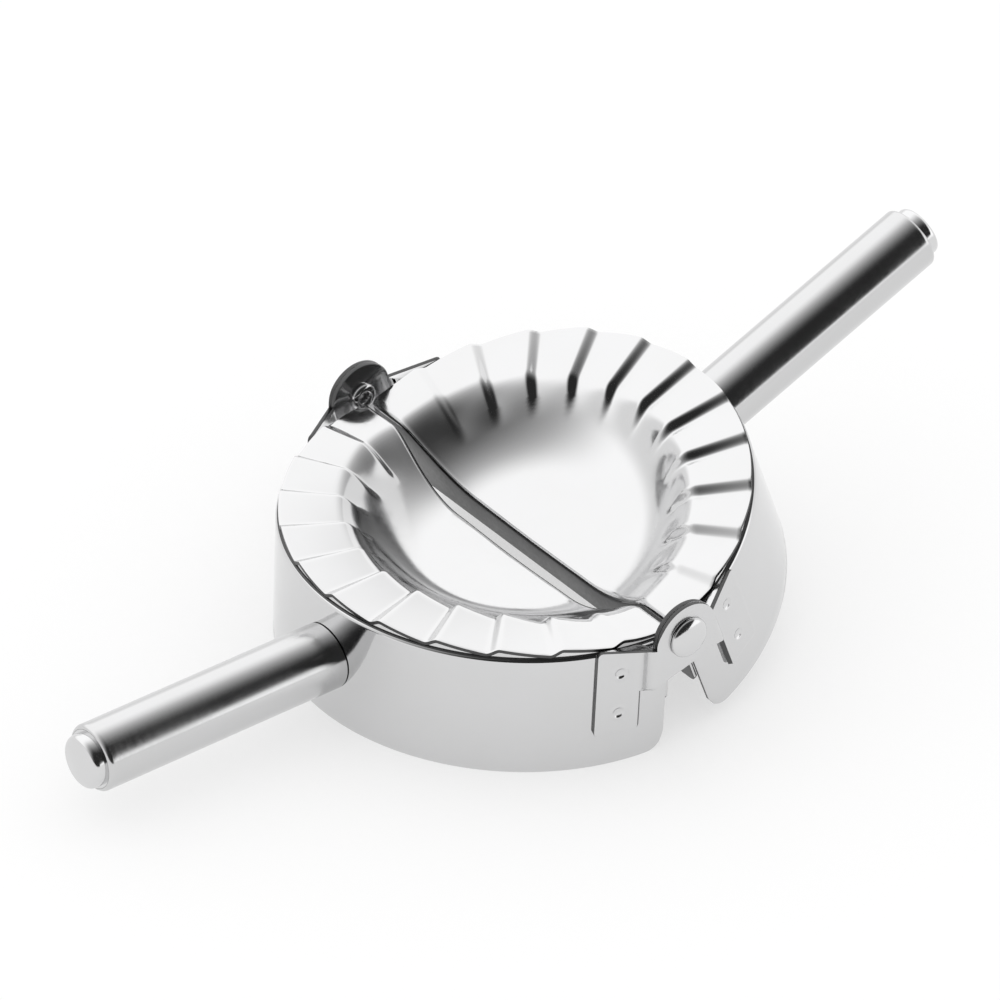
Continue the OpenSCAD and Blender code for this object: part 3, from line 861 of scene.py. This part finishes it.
def leafMesh(side):
    path, length = leafPath(ears[side])
    earAt = length[-1] - (leaf["ear"] + leaf["ear margin"])
    headAt = earAt - leaf["head"] + leaf["sheet"] / 2
    weldX = -leaf["foot"] - leaf["band"] / 2
    footAt, weldAt = [float(np.interp(x, path[:, 0], length))
                      for x in (-leaf["foot"] - leaf["foot margin"], weldX)]
    weldMiddle = leaf["top"] - leaf["band height"] / 2 - leaf["weld low"]
    welds = [(weldAt, weldMiddle + s * leaf["weld pitch"] / 2) for s in (-1, 1)]
    outline = leafOutline(earAt, footAt, headAt)
    hole = circle((earAt, 0), leaf["hole"], leaf["hole points"])
    count, ring = len(outline), len(hole)
    edges = [(k, (k + 1) % count) for k in range(count)]
    edges += [(count + k, count + (k + 1) % ring) for k in range(ring)]
    fill = leafFill(outline, earAt, welds, length[-1])
    flat = [Vector(p) for p in [*outline, *hole, *fill]]
    insideOnly, closeness = 1, 1e-5
    verts, _, faces, *_ = delaunay_2d_cdt(flat, edges, [], insideOnly, closeness)
    kept = []
    inHole = leaf["hole"] * 0.98    # the faces that close the hole have their middles within this
    for face in faces:
        middle = sum((verts[k] for k in face), Vector((0, 0))) / len(face)
        if math.hypot(middle.x - earAt, middle.y) > inHole:
            kept.append(tuple(face))
    base = sheetFromPath(side + "LeafBase", verts, kept, path, length)
    addBevel(base, leaf["edge"], 50)
    mesh = bakedMesh(base)
    markWelds(mesh, [(weldX, hinge["height"] + w[1]) for w in welds])
    mesh.update()
    return mesh


def insideOutline(point, outline, margin):
    around = np.array(outline)
    ahead = np.roll(around, -1, axis=0)
    side = ahead - around
    to = np.array(point) - around
    share = np.clip((to * side).sum(1) / np.maximum((side ** 2).sum(1), 1e-12), 0, 1)
    nearest = np.linalg.norm(to - side * share[:, None], axis=1).min()
    over = (around[:, 1] > point[1]) != (ahead[:, 1] > point[1])
    rise = np.where(over, side[:, 1], 1)
    crossing = around[:, 0] + (point[1] - around[:, 1]) * side[:, 0] / rise
    return nearest > margin and np.count_nonzero(over & (point[0] < crossing)) % 2 == 1


def sheetFromPath(name, flat, faces, path, length):    # gives the flat outline its two faces
    way = np.gradient(path, length, axis=0)
    way /= np.linalg.norm(way, axis=1)[:, None]
    used = sorted({k for face in faces for k in face})
    number = {old: new for new, old in enumerate(used)}
    faces = [tuple(number[k] for k in face) for face in faces]
    outer, under = [], []
    for k in used:
        s, height = flat[k].x, hinge["height"] + flat[k].y
        middle = np.array([np.interp(s, length, path[:, axis]) for axis in (0, 1)])
        ahead = np.array([np.interp(s, length, way[:, axis]) for axis in (0, 1)])
        normal = np.array([ahead[1], -ahead[0]]) / np.linalg.norm(ahead)
        for points, side in ((outer, 0.5), (under, -0.5)):
            points.append((*((middle + normal * leaf["sheet"] * side) * mm), height * mm))
    count = len(outer)
    ways = {(face[k], face[(k + 1) % len(face)]) for face in faces for k in range(len(face))}
    rim = [(b, a, a + count, b + count) for a, b in ways if (b, a) not in ways]
    back = [tuple(k + count for k in reversed(face)) for face in faces]
    obj = meshObject(name, outer + under, faces + back + sorted(rim))
    # The sheet's cut edges take the near-black steel, whose tone is partly painted shadow of the
    # gaps beside the leaf
    for material in (steels["hingeSteel"], steels["cutEdgeAndShadeSteel"]):
        obj.data.materials.append(material)
    for face in obj.data.polygons[len(faces) + len(back):]:
        face.material_index = 1
    return obj


def markWelds(mesh, welds):    # a shallow dimple with a low rim, on the outer face only
    faceFrom = leaf["band radius"] + leaf["face margin"]
    bandEnd = -leaf["foot"] - leaf["weld margin"]
    for vertex in mesh.vertices:
        x, y, z = vertex.co / mm
        if math.hypot(x, y) < faceFrom or x > bandEnd:
            continue
        for weld in welds:
            reach = math.hypot(x - weld[0], z - weld[1]) / leaf["weld"]
            if reach < leaf["weld reach"]:
                dip = leaf["weld depth"] * max(1 - reach ** 3, 0)
                fromRim = (reach - leaf["rim at"]) / leaf["rim width"]
                rim = leaf["weld rim"] * math.exp(-fromRim ** 2)
                outwards = Vector((x, y, 0)).normalized()
                vertex.co += outwards * (rim - dip) * mm


def buildLeaves():
    for side, half in sides.items():
        mesh = leafMesh(side)
        # On the far half the front leaf is the rear one turned half round
        frontTurn = Matrix.Identity(4) if side == "near" else toRear
        rearTurn = toRear if side == "near" else Matrix.Identity(4)
        for end, turn in (("front", frontTurn), ("rear", rearTurn)):
            placePiece(f"{side}{end.capitalize()}Leaf", mesh, half["place"] @ turn,
                       steels["hingeSteel"], half["body"],
                       f"{side}_{end}_hinge_leaf", sharp=40)
        print(side, "hinge leaves:", len(mesh.polygons), "faces each")


buildLeaves()


# Rivets: domed outside, rolled over inside

rivet = {
    "inner ear": 50.1,
    "outer face": 52.0,
    "head radius": 4.3,
    "head height": 2.0,
    "head edge": 0.4,     # height of the head's widest ring over the ear
    "head start": 100,    # degrees from the head's top at which its round begins
    "head margin": 0.5,   # from the widest ring in to the round's foot on the ear
    "shank": 2.0,
    "tail play": 0.05,
    "tail radius": 3.0,
    "tail height": 1.2,
    "bore": 1.1,
    "dome points": 21,
    "roll steps": 10,
}


def rivetProfile():
    head, high = rivet["head radius"], rivet["head height"]
    tail = rivet["inner ear"] - rivet["tail play"]
    roll = (rivet["tail radius"] - rivet["bore"]) / 2
    rollAt = (tail - rivet["tail height"] + roll, rivet["bore"] + roll)
    middle = rivet["outer face"] + rivet["head edge"]
    dome = [(middle + (high - rivet["head edge"]) * math.cos(a), head * math.sin(a))
            for a in np.radians(np.linspace(rivet["head start"], 0, rivet["dome points"]))]
    return [(tail, 0), (tail, rivet["bore"]), *arc(rollAt, roll, 270, 90, rivet["roll steps"]),
            (tail, rivet["tail radius"]), (tail, rivet["shank"]),
            (rivet["outer face"], rivet["shank"]),
            (rivet["outer face"], head - rivet["head margin"]), *dome]


def buildRivets():
    mesh = turnedMesh("rivet", rivetProfile(), steels["rivetSteel"])
    lift = Matrix.Translation((0, 0, hinge["height"] * mm))
    for end, angle in (("front", -math.pi / 2), ("rear", math.pi / 2)):
        placePiece(end + "Rivet", mesh, lift @ Matrix.Rotation(angle, 4, "Z"),
                   steels["rivetSteel"], "near_half", end + "_rivet")
    print("rivets:", len(mesh.polygons), "faces each")


buildRivets()


# Floor, studio and camera

studio = {
    "floor radius": 6.0,    # this and the veil's radius are in metres
    "floor tone": 0.97,
    "floor points": 64,
    "floor roughness": 0.9,
    "floor white": 0.55,    # share of plain white in the floor, over its lit colour
    "soft light": 1.06,
    # A black veil hangs over the front of the studio. It thins out towards the rear, and its
    # lower edge slopes up from the floor towards +X. Only reflections show it.
    "veil radius": 3.0,
    "veil grid": (65, 17),
    "veil span": (0.02, 0.979),     # its start over the floor, and its height, in quarter turns
    "veil thin": (-0.62, 0.55),     # where it is black, and where gone, from front -1 to rear 1
    "veil edge": (-0.34, -0.27),    # from the slope's line to where it is gone, and where black
    "veil slope": 1.2,
    "veil dark": 0.97,
    # Towards the rear the same cloth glows, as a soft box does
    "glow": 0.42,
    "glow rear": (0.0, 0.6),
    "glow rise": (0.1, 0.35),
    "low glow": 0.45,             # the strip under the cloth's lower edge, at the front
    "low glow front": (-0.15, -0.4),
}


def seenRays(tree):    # 1 for rays from the camera and for rays that metal or glass sends on
    path = tree.nodes.new("ShaderNodeLightPath")
    seen = calc(tree, "MAXIMUM", path.outputs["Is Camera Ray"], path.outputs["Is Glossy Ray"])
    return calc(tree, "MAXIMUM", seen, path.outputs["Is Transmission Ray"])


def buildFloor():
    verts = [(x, y, 0) for x, y in circle((0, 0), studio["floor radius"], studio["floor points"])]
    floor = meshObject("floor", verts, [tuple(range(len(verts)))])
    material = bpy.data.materials.new("paleFloor")
    material.use_nodes = True
    tree = material.node_tree
    shader = tree.nodes["Principled BSDF"]
    shader.inputs["Base Color"].default_value = (*[studio["floor tone"]] * 3, 1)
    shader.inputs["Roughness"].default_value = studio["floor roughness"]
    shader.inputs["Specular IOR Level"].default_value = 0.0
    white = tree.nodes.new("ShaderNodeEmission")
    mix = tree.nodes.new("ShaderNodeMixShader")
    tree.links.new(calc(tree, "MULTIPLY", seenRays(tree), studio["floor white"]), mix.inputs[0])
    tree.links.new(shader.outputs[0], mix.inputs[1])
    tree.links.new(white.outputs[0], mix.inputs[2])
    tree.links.new(mix.outputs[0], tree.nodes["Material Output"].inputs["Surface"])
    floor.data.materials.append(material)


def veilPoint(u, v):
    foot, span = studio["veil span"]
    turn, rise = 2 * math.pi * u, math.pi / 2 * (foot + span * v)
    reach = studio["veil radius"] / mm
    return (reach * math.cos(turn) * math.cos(rise), reach * math.sin(turn) * math.cos(rise),
            reach * math.sin(rise))


def buildVeil():
    veil = gridObject("veil", *studio["veil grid"], veilPoint)
    veil.data.shade_smooth()
    material = bpy.data.materials.new("blackVeil")
    material.use_nodes = True
    tree = material.node_tree
    tree.nodes.clear()
    coordinates = tree.nodes.new("ShaderNodeTexCoord")
    direction = tree.nodes.new("ShaderNodeVectorMath")
    direction.operation = "NORMALIZE"
    tree.links.new(coordinates.outputs["Object"], direction.inputs[0])
    right, rear, high = axesOf(tree, direction.outputs[0])
    thin = fade(tree, rear, *studio["veil thin"])
    overEdge = calc(tree, "MULTIPLY_ADD", right, -studio["veil slope"], high)
    hung = fade(tree, overEdge, *studio["veil edge"])
    thick = calc(tree, "MULTIPLY", calc(tree, "SUBTRACT", 1.0, thin), hung)
    clear = tree.nodes.new("ShaderNodeBsdfTransparent")
    black = tree.nodes.new("ShaderNodeEmission")
    black.inputs["Strength"].default_value = 0
    mix = tree.nodes.new("ShaderNodeMixShader")
    tree.links.new(calc(tree, "MULTIPLY", thick, studio["veil dark"]), mix.inputs[0])
    tree.links.new(clear.outputs[0], mix.inputs[1])
    tree.links.new(black.outputs[0], mix.inputs[2])
    soft = calc(tree, "MULTIPLY", fade(tree, rear, *studio["glow rear"]),
                fade(tree, high, *studio["glow rise"]))
    strip = calc(tree, "MULTIPLY", calc(tree, "SUBTRACT", 1.0, hung),
                 fade(tree, rear, *studio["low glow front"]))
    glow = tree.nodes.new("ShaderNodeEmission")
    tree.links.new(calc(tree, "MULTIPLY_ADD", strip, studio["low glow"],
                        calc(tree, "MULTIPLY", soft, studio["glow"])), glow.inputs["Strength"])
    both = tree.nodes.new("ShaderNodeAddShader")
    tree.links.new(mix.outputs[0], both.inputs[0])
    tree.links.new(glow.outputs[0], both.inputs[1])
    leave = tree.nodes.new("ShaderNodeOutputMaterial")
    tree.links.new(both.outputs[0], leave.inputs[0])
    veil.data.materials.append(material)
    veil.visible_camera = False
    veil.visible_diffuse = False
    veil.visible_shadow = False


def buildStudio():    # white wherever it is seen or reflected, and a plain soft light
    world = bpy.data.worlds.new("studio")
    bpy.context.scene.world = world
    world.use_nodes = True
    tree = world.node_tree
    background = tree.nodes["Background"]
    background.inputs["Color"].default_value = (1, 1, 1, 1)
    strength = calc(tree, "MULTIPLY_ADD", seenRays(tree), 1 - studio["soft light"],
                    studio["soft light"])
    tree.links.new(strength, background.inputs["Strength"])


camera = {    # fitted to the rims, the handles and the rivets; the clip is in metres
    "azimuth": -40.51, "elevation": 34.917, "distance": 1358.2, "roll": 2.645,
    "target": (7.368, 14.261, 20.0), "lens": 243.67, "sensor": 36, "clip": 50,
}


def buildCamera():
    data = bpy.data.cameras.new("camera")
    data.lens = camera["lens"]
    data.sensor_width = camera["sensor"]
    data.clip_end = camera["clip"]
    obj = bpy.data.objects.new("camera", data)
    bpy.context.scene.collection.objects.link(obj)
    a, e = math.radians(camera["azimuth"]), math.radians(camera["elevation"])
    back = Vector((math.sin(a) * math.cos(e), -math.cos(a) * math.cos(e), math.sin(e)))
    right = Vector((0, 0, 1)).cross(back).normalized()
    up = back.cross(right)
    roll = math.radians(camera["roll"])
    x = right * math.cos(roll) + up * math.sin(roll)
    y = -right * math.sin(roll) + up * math.cos(roll)
    turn = Matrix((x, y, back)).transposed().to_4x4()
    place = (Vector(camera["target"]) + back * camera["distance"]) * mm
    obj.matrix_world = Matrix.Translation(place) @ turn
    bpy.context.scene.camera = obj


buildFloor()
buildVeil()
buildStudio()
buildCamera()
bpy.context.scene.view_settings.view_transform = "Standard"
print("studio and camera made")
